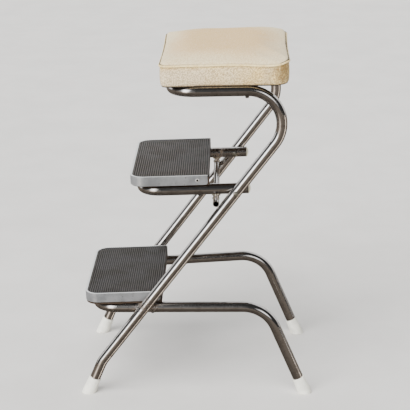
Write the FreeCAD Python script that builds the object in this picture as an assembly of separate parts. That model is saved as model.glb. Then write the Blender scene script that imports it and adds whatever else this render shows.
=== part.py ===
import FreeCAD, Part
import math
import os

# Folding step stool chair. A bent chrome tube carries the padded seat on its upper end, a second
# tube is welded inside it and carries the bottom tread, and a middle step turns on two rivets.
# The middle step stands level for climbing and flips up and over to clear the footrest for sitting.
# Millimetres and degrees. Front is -Y and up is +Z, with the origin on the floor in the middle.
# Left and right are those of a person on the seat, so left is +X.

# Chrome tube of all three frames
tube_diameter = 22.2
tube_wall = 1.5

# Main frame: centreline of one side, as distances back from the middle and heights
frame_half_width = 162.0
front_foot_y = -229.1
ankle_y = -199.0
ankle_height = 71.2
ankle_bend = 60.0
top_corner_y = 243.2
top_corner_height = 657.3
top_bend = 68.0
rail_rise = 1.1
rail_front_y = -47.5
rail_front_bend = 48.0

# Lower frame: a U of tube inside the diagonals whose two ends bend down into the rear legs
bar_height = 184.8
bar_rise = 2.1
bar_front_y = -210.4
bar_front_bend = 48.0
rear_corner_y = 145.4
rear_corner_half_width = 159.0
rear_bend = 72.0
rear_foot_y = 229.1
weld_gap = 0.4
weld_radius = 8.0

# Rubber feet
ferrule_length = 37.0
ferrule_sole_radius = 14.3
ferrule_rim_radius = 12.8
ferrule_sole = 8.0
ferrule_lip = 2.0

# Pivot of the middle step
pivot_height = 443.4
rivet_diameter = 6.4
rivet_head_diameter = 11.6
rivet_head_height = 2.4
washer_diameter = 17.0
washer_thickness = 1.0

# Middle step frame
arm_rise = 1.8
arm_lift = 2.5
arm_tail = 26.0
step_front_bend = 40.0
plug_depth = 11.0
plug_dome = 4.2
under_seat_clearance = 3.4
swing_side_clearance = 1.7

# Stop bar that bears on the front of both diagonals
stop_bar_diameter = 12.7
stop_bar_wall = 1.2
stop_bar_half_length = 162.0
stop_bar_reach = 47.2
stop_lug_diameter = 10.0

# Treads: plywood board, ribbed rubber mat and aluminium edging
bottom_board_thickness = 20.5
step_board_thickness = 17.0
mat_base = 2.5
rib_height = 1.5
rib_pitch = 4.5
rib_foot = 3.1
rib_top = 2.0
edging_thickness = 1.2
edging_height = 19.5
edging_lip = 4.0
edging_end_gap = 3.0
edging_end_radius = 5.0
tread_depth = 162.0
tread_corner = 30.0
tread_overhang = 12.0
bottom_tread_side_gap = 5.7
tread_screw_inset = 21.0
edging_screw_inset = 24.0

# Seat: plywood board, padding, and a cover of top panel, piping and band
seat_front_y = -69.5
seat_depth = 257.0
seat_side_overhang = 0.4
seat_front_corner = 13.0
seat_rear_corner = 30.0
side_draw = 2.0
seat_board_thickness = 12.0
band_height = 42.2
crown_height = 19.0
cover_thickness = 1.2
piping_diameter = 4.6
seat_screw_y = 103.0

# Screws
screw_diameter = 4.8
screw_head_diameter = 8.6
screw_head_height = 2.4
screw_bite = 9.0
screw_cover = 3.0
trim_screw_diameter = 3.0
trim_screw_head_diameter = 7.0
trim_screw_head_height = 0.9
trim_screw_length = 16.0

# Clearances
fit_clearance = 0.05
running_clearance = 0.06
face_clearance = 0.3
soft_clearance = 0.3
trim_clearance = 0.2
cut_margin = 1.0

# Band of the seat from its lower edge up: share of the band's height, and how far it lies inside
# the seat's outline. The band bulges a little and turns in under the board.
band_profile = ((0.0, 3.0), (0.13, 0.7), (0.5, -0.5), (0.85, 0.3), (1.0, 1.0))
# Top panel of the seat from the piping in: inset, and share of the crown's height
crown_profile = ((1.0, 0.0), (4.0, 0.32), (13.0, 0.62), (30.0, 0.85), (54.0, 0.97), (78.0, 1.0))
crown_corner_growth = 0.15

V = FreeCAD.Vector
across = V(1, 0, 0)
back = V(0, 1, 0)
up = V(0, 0, 1)
tube_radius = tube_diameter / 2
tube_bore = tube_radius - tube_wall
stop_bar_radius = stop_bar_diameter / 2
rivet_radius = rivet_diameter / 2
screw_radius = screw_diameter / 2
trim_screw_radius = trim_screw_diameter / 2
piping_radius = piping_diameter / 2
mat_top = mat_base + rib_height
seat_half_width = frame_half_width + tube_radius + seat_side_overhang


def side_point(y, height, half_width):
    return V(half_width, y, height)


def rail_height(y):
    return top_corner_height - (top_corner_y - y) * math.tan(math.radians(rail_rise))


# The diagonal runs straight from the ankle to the top corner
diagonal = V(0, top_corner_y - ankle_y, top_corner_height - ankle_height).normalize()
diagonal_front = V(0, -diagonal.z, diagonal.y)


def diagonal_y(height):
    return ankle_y + (height - ankle_height) * diagonal.y / diagonal.z


# Where the lower frame crosses the diagonals
crossing_y = diagonal_y(bar_height)
crossing_half_width = frame_half_width - tube_diameter - weld_gap
bar_splay = (rear_corner_half_width - crossing_half_width) / (rear_corner_y - crossing_y)


def bar_point(y):
    height = bar_height + (y - crossing_y) * math.tan(math.radians(bar_rise))
    return side_point(y, height, crossing_half_width + (y - crossing_y) * bar_splay)


# The middle step: its pivot, and the largest reach that still swings clear under the seat
pivot = V(0, diagonal_y(pivot_height), pivot_height)
arm_half_width = frame_half_width - tube_diameter - fit_clearance - washer_thickness - face_clearance
step_stack = arm_lift + tube_radius + step_board_thickness + mat_top
swing_radius = rail_height(pivot.y) + tube_radius - pivot_height - under_seat_clearance
step_tread_front = pivot.y - math.sqrt(swing_radius ** 2 - step_stack ** 2)
step_frame_front = step_tread_front + tread_overhang + tube_radius
step_tread_half_width = frame_half_width - tube_radius - swing_side_clearance

# The stop bar lies against the front of the diagonals, a set reach from the pivot
stop_offset = tube_radius + stop_bar_radius + face_clearance
stop_along = math.sqrt(stop_bar_reach ** 2 - stop_offset ** 2)
stop_bar_centre = pivot - diagonal * stop_along + diagonal_front * stop_offset

# The bottom tread
bottom_tread_front = bar_front_y - tube_radius - tread_overhang
bottom_tread_half_width = frame_half_width - tube_radius - bottom_tread_side_gap


def save(name, shape):
    shape.exportStep("parts/" + name + ".step")


def mirrored(shape):
    return shape.mirror(V(0, 0, 0), across)


def both_sides(shape):
    return Part.makeCompound([shape, mirrored(shape)])


# A piece drawn level, with its height measured from a tube's centreline, set on the tilted tube
def tilted(shape, y, height, rise):
    placed = shape.copy()
    placed.translate(V(0, 0, height))
    placed.rotate(V(0, y, height), across, rise)
    return placed


def on_rails(shape):
    return tilted(shape, top_corner_y, top_corner_height, rail_rise)


def on_bars(shape):
    return tilted(shape, crossing_y, bar_height, bar_rise)


# The arms' centreline passes a little over the pivot
def on_arms(shape):
    raised = shape.copy()
    raised.translate(V(0, 0, arm_lift))
    return tilted(raised, pivot.y, pivot.z, arm_rise)


def rod(start, direction, radius, length):
    return Part.makeCylinder(radius, length, start, direction)


def ring_face(centre, direction, outer, inner):
    rims = [Part.Wire(Part.makeCircle(radius, centre, direction)) for radius in (outer, inner)]
    return Part.makeFace(rims, "Part::FaceMakerBullseye")


# A tube that follows straight runs, with a round bend at each inner point of its path
def bent_tube(points, bends, outer, inner):
    pieces = []
    start = points[0]
    for corner, following, bend in zip(points[1:-1], points[2:], bends):
        ahead = (corner - start).normalize()
        turned = (following - corner).normalize()
        turn = ahead.getAngle(turned)
        axis = ahead.cross(turned).normalize()
        bend_start = corner - ahead * (bend * math.tan(turn / 2))
        bend_centre = bend_start + axis.cross(ahead) * bend
        pieces.append(ring_face(start, ahead, outer, inner).extrude(bend_start - start))
        ring = ring_face(bend_start, ahead, outer, inner)
        pieces.append(ring.revolve(bend_centre, axis, math.degrees(turn)))
        start = corner + turned * (bend * math.tan(turn / 2))
    last = points[-1] - start
    pieces.append(ring_face(start, last, outer, inner).extrude(last))
    return pieces[0].multiFuse(pieces[1:])


# The far side of a path, from its middle on, is the near side turned about the middle plane
def closed_path(points):
    return points + [V(-point.x, point.y, point.z) for point in reversed(points)]


# A turned piece: its outline as (radius, height) corners round an axis
def turned_piece(corners, base, direction):
    outline = [V(radius, 0, height) for radius, height in corners]
    face = Part.Face(Part.makePolygon(outline + outline[:1]))
    piece = face.revolve(V(0, 0, 0), up, 360)
    piece.Placement = FreeCAD.Placement(base, FreeCAD.Rotation(up, direction))
    return piece


# A low dome on a flat seat, for rivet and screw heads and for the plugs
def dome(base, direction, radius, height):
    ball_radius = (radius ** 2 + height ** 2) / (2 * height)
    rim = V(radius, 0, 0)
    top = V(0, 0, height)
    half_angle = math.asin(radius / ball_radius) / 2
    drop = ball_radius * (1 - math.cos(half_angle))
    middle = V(ball_radius * math.sin(half_angle), 0, height - drop)
    edges = [
        Part.makeLine(V(0, 0, 0), rim),
        Part.Arc(rim, middle, top).toShape(),
        Part.makeLine(top, V(0, 0, 0)),
    ]
    piece = Part.Face(Part.Wire(edges)).revolve(V(0, 0, 0), up, 360)
    piece.Placement = FreeCAD.Placement(base, FreeCAD.Rotation(up, direction))
    return piece


# A wood screw from the seat of its head inwards
def screw(seat, direction, radius, length, head_radius, head_height):
    taper = radius * 2
    corners = ((0, 0), (radius, 0), (radius, length - taper), (0, length))
    shank = turned_piece(corners, seat, direction)
    return shank.fuse(dome(seat, direction * -1, head_radius, head_height))


def screw_hole(seat, direction, radius, length):
    reach = length + radius + cut_margin
    return rod(seat - direction * radius, direction, radius + fit_clearance, reach)


def fixing_screw(x, y, length):
    seat = V(x, y, -tube_radius - fit_clearance)
    return screw(seat, up, screw_radius, length, screw_head_diameter / 2, screw_head_height)


def fixing_hole(x, y, length):
    return screw_hole(V(x, y, -tube_radius), up, screw_radius, length)


tread_screw_length = tube_diameter + fit_clearance + screw_bite
seat_screw_bite = min(screw_bite, seat_board_thickness - screw_cover)
seat_screw_length = tube_diameter + fit_clearance + seat_screw_bite

# Screws of each tread and of the seat: two through the sides and one through the front
bottom_side_screw_y = bottom_tread_front + tread_depth - tread_screw_inset
step_side_screw_y = step_tread_front + tread_depth - tread_screw_inset
bottom_screws = (
    (bar_point(bottom_side_screw_y).x, bottom_side_screw_y),
    (-bar_point(bottom_side_screw_y).x, bottom_side_screw_y),
    (0, bar_front_y),
)
step_screws = (
    (arm_half_width, step_side_screw_y),
    (-arm_half_width, step_side_screw_y),
    (0, step_frame_front),
)
seat_screws = (
    (frame_half_width, seat_screw_y),
    (-frame_half_width, seat_screw_y),
    (0, rail_front_y),
)


def fixing_screws(places, length):
    return Part.makeCompound([fixing_screw(x, y, length) for x, y in places])


def fixing_holes(places, length):
    return Part.makeCompound([fixing_hole(x, y, length) for x, y in places])


def rivet_holes():
    half = frame_half_width + tube_diameter
    return rod(pivot - across * half, across, rivet_radius + running_clearance, 2 * half)


# Point of a leg where its tube ends inside the rubber foot
def leg_end(floor_point, upper_point):
    rise = (upper_point - floor_point).normalize()
    return floor_point + rise * ferrule_sole


front_floor = side_point(front_foot_y, 0, frame_half_width)
ankle = side_point(ankle_y, ankle_height, frame_half_width)
rear_floor = side_point(rear_foot_y, 0, rear_corner_half_width)
rear_corner = bar_point(rear_corner_y)


def main_frame():
    path = closed_path([
        leg_end(front_floor, ankle),
        ankle,
        side_point(top_corner_y, top_corner_height, frame_half_width),
        side_point(rail_front_y, rail_height(rail_front_y), frame_half_width),
    ])
    bends = [ankle_bend, top_bend, rail_front_bend, rail_front_bend, top_bend, ankle_bend]
    tube = bent_tube(path, bends, tube_radius, tube_bore)
    holes = on_rails(fixing_holes(seat_screws, seat_screw_length))
    return tube.cut(holes).cut(rivet_holes())


def lower_frame():
    path = closed_path([leg_end(rear_floor, rear_corner), rear_corner, bar_point(bar_front_y)])
    bends = [rear_bend, bar_front_bend, bar_front_bend, rear_bend]
    tube = bent_tube(path, bends, tube_radius, tube_bore)
    return tube.cut(on_bars(fixing_holes(bottom_screws, tread_screw_length)))


# Weld between diagonal and lower frame: what is left of a short plug outside the two tubes
def weld():
    centre_x = frame_half_width - tube_radius - weld_gap / 2
    bead = rod(V(centre_x - tube_wall * 2, crossing_y, bar_height), across, weld_radius, tube_wall * 4)
    reach = 2 * weld_radius
    on_diagonal = V(frame_half_width, crossing_y, bar_height) - diagonal * reach
    bar_start = bar_point(crossing_y - reach)
    bar_end = bar_point(crossing_y + reach)
    near = rod(on_diagonal, diagonal, tube_radius + fit_clearance, 2 * reach)
    span = bar_end - bar_start
    far = rod(bar_start, span, tube_radius + fit_clearance, span.Length)
    return bead.cut(near).cut(far)


# Rubber foot on a leg: a tapered cup round the leg's axis, its sole cut level with the floor
def rubber_foot(floor_point, upper_point):
    axis = (upper_point - floor_point).normalize()
    rim = ferrule_rim_radius
    bore = tube_radius + fit_clearance
    corners = (
        (0, -ferrule_sole),
        (ferrule_sole_radius, -ferrule_sole),
        (ferrule_sole_radius, ferrule_lip),
        (rim, ferrule_length - ferrule_lip),
        (rim - ferrule_lip / 4, ferrule_length),
        (bore, ferrule_length),
        (bore, ferrule_sole),
        (0, ferrule_sole),
    )
    cup = turned_piece(corners, floor_point, axis)
    side = 4 * ferrule_sole_radius
    below = Part.makeBox(side, side, side, floor_point - V(side / 2, side / 2, side))
    return cup.cut(below)


# Outline of a tread seen from above: square at the back, rounded at the front corners
def tread_outline(half_width, front, rear, corner, height):
    reach = corner * (1 - math.sqrt(0.5))
    left_front = V(half_width - reach, front + reach, height)
    right_front = V(-half_width + reach, front + reach, height)
    edges = [
        Part.makeLine(V(half_width, rear, height), V(half_width, front + corner, height)),
        Part.Arc(V(half_width, front + corner, height), left_front,
                 V(half_width - corner, front, height)).toShape(),
        Part.makeLine(V(half_width - corner, front, height), V(-half_width + corner, front, height)),
        Part.Arc(V(-half_width + corner, front, height), right_front,
                 V(-half_width, front + corner, height)).toShape(),
        Part.makeLine(V(-half_width, front + corner, height), V(-half_width, rear, height)),
        Part.makeLine(V(-half_width, rear, height), V(half_width, rear, height)),
    ]
    return Part.Face(Part.Wire(edges))


# A slab of the tread's outline, drawn in by an inset on the front and the sides
def tread_slab(half_width, front, inset, rear, bottom, top):
    face = tread_outline(half_width - inset, front + inset, rear, tread_corner - inset, bottom)
    return face.extrude(V(0, 0, top - bottom))


def tread_board(half_width, front, board_top, screws):
    inset = edging_thickness + trim_clearance
    board = tread_slab(half_width, front, inset, front + tread_depth, tube_radius, board_top)
    board = board.cut(fixing_holes(screws, tread_screw_length))
    return board.cut(both_sides(edging_screw_hole(half_width, front, board_top)))


# The mat lies under the edging's lip on a flat rim, and its ribs run across the tread
def tread_mat(half_width, front, bottom):
    rear = front + tread_depth
    inset = edging_thickness + trim_clearance
    rim = tread_slab(half_width, front, inset, rear, bottom, bottom + mat_base)
    field_inset = edging_lip + trim_clearance
    field = tread_slab(half_width, front, field_inset, rear, bottom + mat_base / 2, bottom + mat_top)
    count = int((tread_depth - field_inset) / rib_pitch)
    corners = []
    for index in range(count):
        start = rear - (index + 1) * rib_pitch + (rib_pitch - rib_foot) / 2
        lean = (rib_foot - rib_top) / 2
        corners.append(V(-half_width, start + rib_foot, bottom + mat_base))
        corners.append(V(-half_width, start + rib_foot - lean, bottom + mat_top))
        corners.append(V(-half_width, start + lean, bottom + mat_top))
        corners.append(V(-half_width, start, bottom + mat_base))
    corners.append(V(-half_width, corners[-1].y, bottom + mat_base / 2))
    corners.append(V(-half_width, rear, bottom + mat_base / 2))
    comb = Part.Face(Part.makePolygon(corners + corners[:1])).extrude(V(2 * half_width, 0, 0))
    return rim.fuse(comb.common(field)).removeSplitter()


# Aluminium edging: an upright band round the front and the sides, with a lip over the mat
def tread_edging(half_width, front, board_top):
    top = board_top + mat_base + edging_thickness
    bottom = top - edging_height
    rear = front + tread_depth - edging_end_gap
    past_rear = front + 2 * tread_depth
    outer = tread_slab(half_width, front, 0, rear, bottom, top)
    room_top = top - edging_thickness
    room_bottom = bottom - cut_margin
    room = tread_slab(half_width, front, edging_thickness, past_rear, room_bottom, room_top)
    window = tread_slab(half_width, front, edging_lip, past_rear, bottom, top + cut_margin)
    trim = outer.cut(room).cut(window)
    radius = edging_end_radius
    notch = Part.makeBox(2 * half_width, radius, radius, V(-half_width, rear - radius, bottom))
    round_end = rod(V(-half_width, rear - radius, bottom + radius), across, radius, 2 * half_width)
    trim = trim.cut(notch.cut(round_end))
    return trim.cut(both_sides(edging_screw_hole(half_width, front, board_top)))


def edging_screw_place(half_width, front, board_top):
    height = board_top + mat_base + edging_thickness - edging_height / 2
    return V(half_width, front + tread_depth - edging_screw_inset, height)


def edging_screw(half_width, front, board_top):
    seat = edging_screw_place(half_width, front, board_top)
    return screw(seat, across * -1, trim_screw_radius, trim_screw_length,
                 trim_screw_head_diameter / 2, trim_screw_head_height)


def edging_screw_hole(half_width, front, board_top):
    seat = edging_screw_place(half_width, front, board_top)
    return screw_hole(seat, across * -1, trim_screw_radius, trim_screw_length)


def save_tread(name, place, half_width, front, thickness, screws):
    board_top = tube_radius + thickness
    save(name + "_tread_board", place(tread_board(half_width, front, board_top, screws)))
    save(name + "_tread_mat", place(tread_mat(half_width, front, board_top)))
    save(name + "_tread_edging", place(tread_edging(half_width, front, board_top)))
    save(name + "_edging_screws", place(both_sides(edging_screw(half_width, front, board_top))))
    save(name + "_tread_screws", place(fixing_screws(screws, tread_screw_length)))


# Middle step frame: drawn level with its pivot at height 0, then set on the arms' slope
def step_frame():
    path = closed_path([
        V(arm_half_width, pivot.y + arm_tail, 0),
        V(arm_half_width, step_frame_front, 0),
    ])
    tube = bent_tube(path, [step_front_bend, step_front_bend], tube_radius, tube_bore)
    tube = tube.cut(fixing_holes(step_screws, tread_screw_length))
    return on_arms(tube).cut(rivet_holes())


# Plug in the open rear end of an arm
def arm_plug():
    mouth = V(arm_half_width, pivot.y + arm_tail, 0)
    shank = rod(mouth - back * plug_depth, back, tube_bore - fit_clearance, plug_depth)
    return on_arms(shank.fuse(dome(mouth, back, tube_radius, plug_dome)))


def stop_bar():
    start = stop_bar_centre - across * stop_bar_half_length
    bore = stop_bar_radius - stop_bar_wall
    return ring_face(start, across, stop_bar_radius, bore).extrude(across * (2 * stop_bar_half_length))


# Lug between an arm and the stop bar, hollowed at both ends to sit on them
def stop_lug():
    arm_axis = V(0, math.cos(math.radians(arm_rise)), math.sin(math.radians(arm_rise)))
    arm_up = V(0, -arm_axis.z, arm_axis.y)
    drop = (pivot - stop_bar_centre).dot(arm_up) + arm_lift
    foot = stop_bar_centre + across * arm_half_width
    stub = rod(foot, arm_up, stop_lug_diameter / 2, drop)
    seat = foot + arm_up * drop - arm_axis * stop_lug_diameter
    arm = rod(seat, arm_axis, tube_radius + fit_clearance, 2 * stop_lug_diameter)
    bar = rod(foot - across * stop_lug_diameter, across, stop_bar_radius + fit_clearance,
              2 * stop_lug_diameter)
    return stub.cut(arm).cut(bar)


# Rivet through a diagonal and an arm: a saddle-shaped head outside, a flat one inside the arm
def pivot_rivet():
    outside = frame_half_width + tube_radius
    inside = arm_half_width - tube_radius - face_clearance
    axis_point = V(0, pivot.y, pivot.z)
    shank_length = outside - inside + rivet_head_height / 2
    shank = rod(axis_point + across * inside, across, rivet_radius, shank_length)
    skirt = rivet_head_diameter / 4
    head_radius = rivet_head_diameter / 2
    cap = dome(axis_point + across * (outside - fit_clearance), across, head_radius, rivet_head_height)
    collar = rod(axis_point + across * (outside - skirt), across, head_radius, skirt)
    reach = rivet_head_diameter
    tube = rod(axis_point + across * frame_half_width - diagonal * reach, diagonal,
               tube_radius + fit_clearance, 2 * reach)
    outer_head = cap.fuse(collar).cut(tube)
    inner_head = dome(axis_point + across * inside, across * -1, head_radius, rivet_head_height)
    return shank.fuse(outer_head).fuse(inner_head)


def pivot_washer():
    outer_x = frame_half_width - tube_radius - fit_clearance
    start = V(outer_x - washer_thickness, pivot.y, pivot.z)
    ring = ring_face(start, across, washer_diameter / 2, rivet_radius + running_clearance)
    return ring.extrude(across * washer_thickness)


# Point where two circles outside each other's reach meet, on the side of a wanted point
def circle_meeting(first, first_radius, second, second_radius, wanted):
    gap = second - first
    distance = gap.Length
    along = (distance ** 2 + first_radius ** 2 - second_radius ** 2) / (2 * distance)
    aside = math.sqrt(first_radius ** 2 - along ** 2)
    direction = gap * (1 / distance)
    square = V(-direction.y, direction.x, 0)
    foot = first + direction * along
    choices = [foot + square * aside, foot - square * aside]
    return min(choices, key=lambda point: (point - wanted).Length)


# Seat outline at a height: four sides drawn in between the corners, joined by tangent corner arcs
def seat_outline(inset, height):
    half_width = seat_half_width - inset
    front = seat_front_y + inset
    rear = seat_front_y + seat_depth - inset
    middle = (front + rear) / 2
    half_depth = (rear - front) / 2
    side_bow = (half_depth ** 2 + side_draw ** 2) / (2 * side_draw)
    end_bow = (half_width ** 2 + side_draw ** 2) / (2 * side_draw)
    side_centre = V(half_width - side_draw + side_bow, middle, 0)
    growth = crown_corner_growth * max(inset, 0)
    corners = []
    for end, sense, radius in ((front, -1, seat_front_corner), (rear, 1, seat_rear_corner)):
        radius = radius + growth
        end_centre = V(0, end - sense * side_draw + sense * end_bow, 0)
        wanted = V(half_width, end, 0)
        centre = circle_meeting(side_centre, side_bow + radius, end_centre, end_bow + radius, wanted)
        on_side = centre + (side_centre - centre).normalize() * radius
        on_end = centre + (end_centre - centre).normalize() * radius
        between = (on_side + on_end) * 0.5 - centre
        corners.append((on_end, centre + between.normalize() * radius, on_side))
    (front_end, front_mid, front_side), (rear_end, rear_mid, rear_side) = corners
    side_mid = V(half_width - side_draw, middle, 0)
    front_draw = V(0, front + side_draw, 0)
    rear_draw = V(0, rear - side_draw, 0)

    def other(point):
        return V(-point.x, point.y, point.z)

    arcs = (
        (other(front_end), front_draw, front_end),
        (front_end, front_mid, front_side),
        (front_side, side_mid, rear_side),
        (rear_side, rear_mid, rear_end),
        (rear_end, rear_draw, other(rear_end)),
        (other(rear_end), other(rear_mid), other(rear_side)),
        (other(rear_side), other(side_mid), other(front_side)),
        (other(front_side), other(front_mid), other(front_end)),
    )
    lift = V(0, 0, height)
    return [Part.Arc(a + lift, b + lift, c + lift).toShape() for a, b, c in arcs]


def seat_wire(inset, height):
    return Part.Wire(seat_outline(inset, height))


# Heights in the seat are measured from the board's underside, which lies on the rails
seat_base = tube_radius


# The band ends just under the piping and the top panel starts just over it
seam_gap = piping_radius + soft_clearance
band_top = seat_base + band_height - seam_gap
crown_base = seat_base + band_height + seam_gap


def band_wires(shrink):
    bottom = seat_base + soft_clearance
    return [seat_wire(inset + shrink, bottom + share * (band_top - bottom)) for share, inset in band_profile]


def crown_wires(shrink):
    base = crown_base - shrink
    return [seat_wire(inset + shrink, base + share * crown_height) for inset, share in crown_profile]


def lofted(wires):
    return Part.makeLoft(wires, True, True)


# The band is the outer form less an inner one that runs out past both its edges
def seat_band():
    inner = band_wires(cover_thickness)
    first_inset = band_profile[0][1] + cover_thickness
    last_inset = band_profile[-1][1] + cover_thickness
    below = seat_wire(first_inset, seat_base - cover_thickness)
    above = seat_wire(last_inset, band_top + cover_thickness)
    return lofted(band_wires(0)).cut(lofted([below] + inner + [above]))


def seat_top_panel():
    return lofted(crown_wires(0)).cut(lofted(crown_wires(cover_thickness)))


# Round cord sewn into the seam between band and top panel
def seat_piping():
    pieces = []
    for arc in seat_outline(0, seat_base + band_height):
        start = arc.valueAt(arc.FirstParameter)
        ahead = arc.tangentAt(arc.FirstParameter)
        profile = Part.Face(Part.Wire(Part.makeCircle(piping_radius, start, ahead)))
        turn = math.degrees(arc.LastParameter - arc.FirstParameter)
        pieces.append(profile.revolve(arc.Curve.Center, arc.Curve.Axis, turn))
    return pieces[0].multiFuse(pieces[1:])


# The padding fills the cover down to the board
def seat_padding():
    shrink = cover_thickness + soft_clearance
    filling = lofted(band_wires(shrink) + crown_wires(shrink))
    depth = seat_base + seat_board_thickness + soft_clearance
    corner = V(-seat_half_width, seat_front_y - seat_depth / 2, 0)
    return filling.cut(Part.makeBox(2 * seat_half_width, 2 * seat_depth, depth, corner))


def seat_board():
    inset = band_profile[0][1] + cover_thickness + soft_clearance
    face = Part.Face(seat_wire(inset, seat_base))
    board = face.extrude(V(0, 0, seat_board_thickness))
    return board.cut(fixing_holes(seat_screws, seat_screw_length))


def save_seat():
    save("seat_board", on_rails(seat_board()))
    save("seat_padding", on_rails(seat_padding()))
    save("seat_band", on_rails(seat_band()))
    save("seat_piping", on_rails(seat_piping()))
    save("seat_top_panel", on_rails(seat_top_panel()))
    save("seat_screws", on_rails(fixing_screws(seat_screws, seat_screw_length)))


def save_frames():
    save("main_frame", main_frame())
    save("lower_frame", lower_frame())
    save("frame_welds", both_sides(weld()))
    front_foot = rubber_foot(front_floor, ankle)
    rear_foot = rubber_foot(rear_floor, rear_corner)
    save("foot_front_left", front_foot)
    save("foot_front_right", mirrored(front_foot))
    save("foot_rear_left", rear_foot)
    save("foot_rear_right", mirrored(rear_foot))


def save_step():
    save("step_frame", step_frame())
    save("arm_plug_left", arm_plug())
    save("arm_plug_right", mirrored(arm_plug()))
    save("stop_bar", stop_bar())
    save("stop_lug_left", stop_lug())
    save("stop_lug_right", mirrored(stop_lug()))
    save("pivot_rivet_left", pivot_rivet())
    save("pivot_rivet_right", mirrored(pivot_rivet()))
    save("pivot_washer_left", pivot_washer())
    save("pivot_washer_right", mirrored(pivot_washer()))


os.makedirs("parts", exist_ok=True)
save_frames()
save_seat()
save_tread("bottom", on_bars, bottom_tread_half_width, bottom_tread_front, bottom_board_thickness,
           bottom_screws)
save_tread("middle", on_arms, step_tread_half_width, step_tread_front, step_board_thickness,
           step_screws)
save_step()
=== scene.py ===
import math

import bmesh
import bpy
from mathutils import Matrix, Vector, noise


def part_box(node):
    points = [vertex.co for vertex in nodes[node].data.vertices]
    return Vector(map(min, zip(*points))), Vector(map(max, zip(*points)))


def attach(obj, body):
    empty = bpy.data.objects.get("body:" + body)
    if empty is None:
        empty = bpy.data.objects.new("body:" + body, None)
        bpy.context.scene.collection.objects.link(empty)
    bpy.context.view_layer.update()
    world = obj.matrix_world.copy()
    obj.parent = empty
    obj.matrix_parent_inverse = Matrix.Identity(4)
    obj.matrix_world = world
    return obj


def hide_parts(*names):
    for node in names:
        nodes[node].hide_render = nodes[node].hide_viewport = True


# Looks of the folding step stool chair. The chrome frames, treads, feet and fasteners are the CAD's own
# pieces with materials made of nodes. The seat's cushion is blown up with cloth simulation, and its
# piping, folded hem and staples are made after it. Metres, in the frame of the CAD model.

MM = 0.001

# Camera: the photograph's view, from the sitter's left, a little over the seat
CAMERA_PLACE = Vector((2.6724, 0.0598, 1.2244))
CAMERA_DOWN = math.radians(17.82)
CAMERA_TURN = math.radians(-0.93)
CAMERA_ROLL = math.radians(-0.22)
CAMERA_LENS = 114.15
CAMERA_SENSOR = 36.0

# Seat sizes that the frame's boxes don't give
SEAT_RISE = math.radians(1.1)
FRONT_CORNER = 13.0 * MM
REAR_CORNER = 30.0 * MM
CORNER_GROWTH = 0.9
CORNER_LIMIT = 0.85
SIDE_DRAW = 2.0 * MM
PIPING_RADIUS = 2.3 * MM
PIPING_SHOWN_RADIUS = 2.0 * MM
BAND_HEIGHT = 41.9 * MM
CROWN_HEIGHT = 21.6 * MM

# Cushion before it is blown up: how far inside the seat's outline, and share of the height, from the
# lower edge of the band up to the seam, and from the seam up to the crown
BAND_RINGS = ((2.2, -1.0), (0.3, -0.9), (-0.4, -0.55), (0.1, -0.2), (1.2, -0.06), (1.6, 0.0))
CROWN_RINGS = (
    (1.6, 0.0), (0.6, 0.1), (1.4, 0.28), (4.5, 0.47), (13.0, 0.68), (30.0, 0.88), (54.0, 0.97), (78.0, 1.0),
)
CORNER_STEPS = 8
SIDE_STEPS = 22

# Uneven upholstery: the rear edge runs a little further back on the far side, where the band is taller
REAR_SKEW = 8.0 * MM
FAR_LIFT = 2.5 * MM
FULL_CORNER = (-150.0 * MM, 165.0 * MM)
FULL_CORNER_REACH = 45.0 * MM
FULL_CORNER_RISE = 4.0 * MM
FULL_CORNER_START = 8.0 * MM

# On the near side the seam sags towards the rear and rises again at the corner, along the seat's depth
SAG = 3.2 * MM
SAG_MIDDLE = 0.83
SAG_REACH = 0.13
SEAM_KICK = 4.0 * MM
KICK_START = 0.92

# Cloth simulation of the cushion
VOXEL = 4.0 * MM
CLOTH_FRAMES = 20
CLOTH_PRESSURE = 4.0
CROWN_SWELL = 4.0 * MM
BAND_SWELL = 0.8 * MM
SEAM_HOLD = 4.0 * MM

# The crown is smoothed more than the rest, from some way inside the seam
CROWN_SMOOTHING = 40
SMOOTHING_START = 5.0 * MM
SMOOTHING_REACH = 20.0 * MM

# Lumps of old filling, and puckers along the seam
LUMP_SCALE = 24
LUMP_HEIGHT = 0.9 * MM
PUCKER_SCALE = 95
PUCKER_HEIGHT = 1.1 * MM
PUCKER_REACH = 7.0 * MM

# How the piping wanders and swells
WANDER_SCALE = 13
WANDER_HEIGHT = 1.5 * MM
JITTER_SCALE = 45
JITTER_HEIGHT = 0.5 * MM
SWELL_SCALE = 60
SWELL_SHARE = 0.14

# Dirt and painted shade in the seam: along the front and rear, with little on the sides, and fading away from
# the piping
END_DIRT_AND_SHADE = 10.0 * MM
SIDE_DIRT_AND_SHADE_SHARE = 0.15
DIRT_AND_SHADE_FADE = 2.2 * MM
RAGGED_SCALE = 70
RAGGED_EDGE = 1.5 * MM
RIM_GAIN = 1.9
RIM_START = 0.9

# Dark cord between the piping and the top, inside the seat's outline and above the seam: dirt and painted shade
# in the seam
SEAM_INSET = 0.5 * MM
SEAM_RISE = 2.6 * MM

# Vinyl folded under the seat board, held by staples
HEM_INSET = 3.2 * MM
HEM_WIDTH = 24.0 * MM
HEM_THICKNESS = 0.8 * MM
PLEAT_SCALE = 160
PLEAT_HEIGHT = 0.5 * MM
STAPLE_PITCH = 27.0 * MM
STAPLE_INSET = 13.0 * MM
STAPLE_LENGTH = 10.0 * MM
STAPLE_WIRE = 0.7 * MM

# Thick washers under the seat's screws
WASHER_RADIUS = 4.4 * MM
WASHER_LOW_RADIUS = 0.82 * WASHER_RADIUS
WASHER_HEIGHT = 4.4 * MM
WASHER_DROP = 1.2 * MM
SCREW_GAP = 15.0 * MM

# Height of a mat with its ribs, and how deep the painted shade on the ribs' flanks reaches
MAT_HEIGHT = 4.0 * MM
RIB_SHADE_START = 0.25 * MM
RIB_SHADE_END = 0.9 * MM

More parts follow.
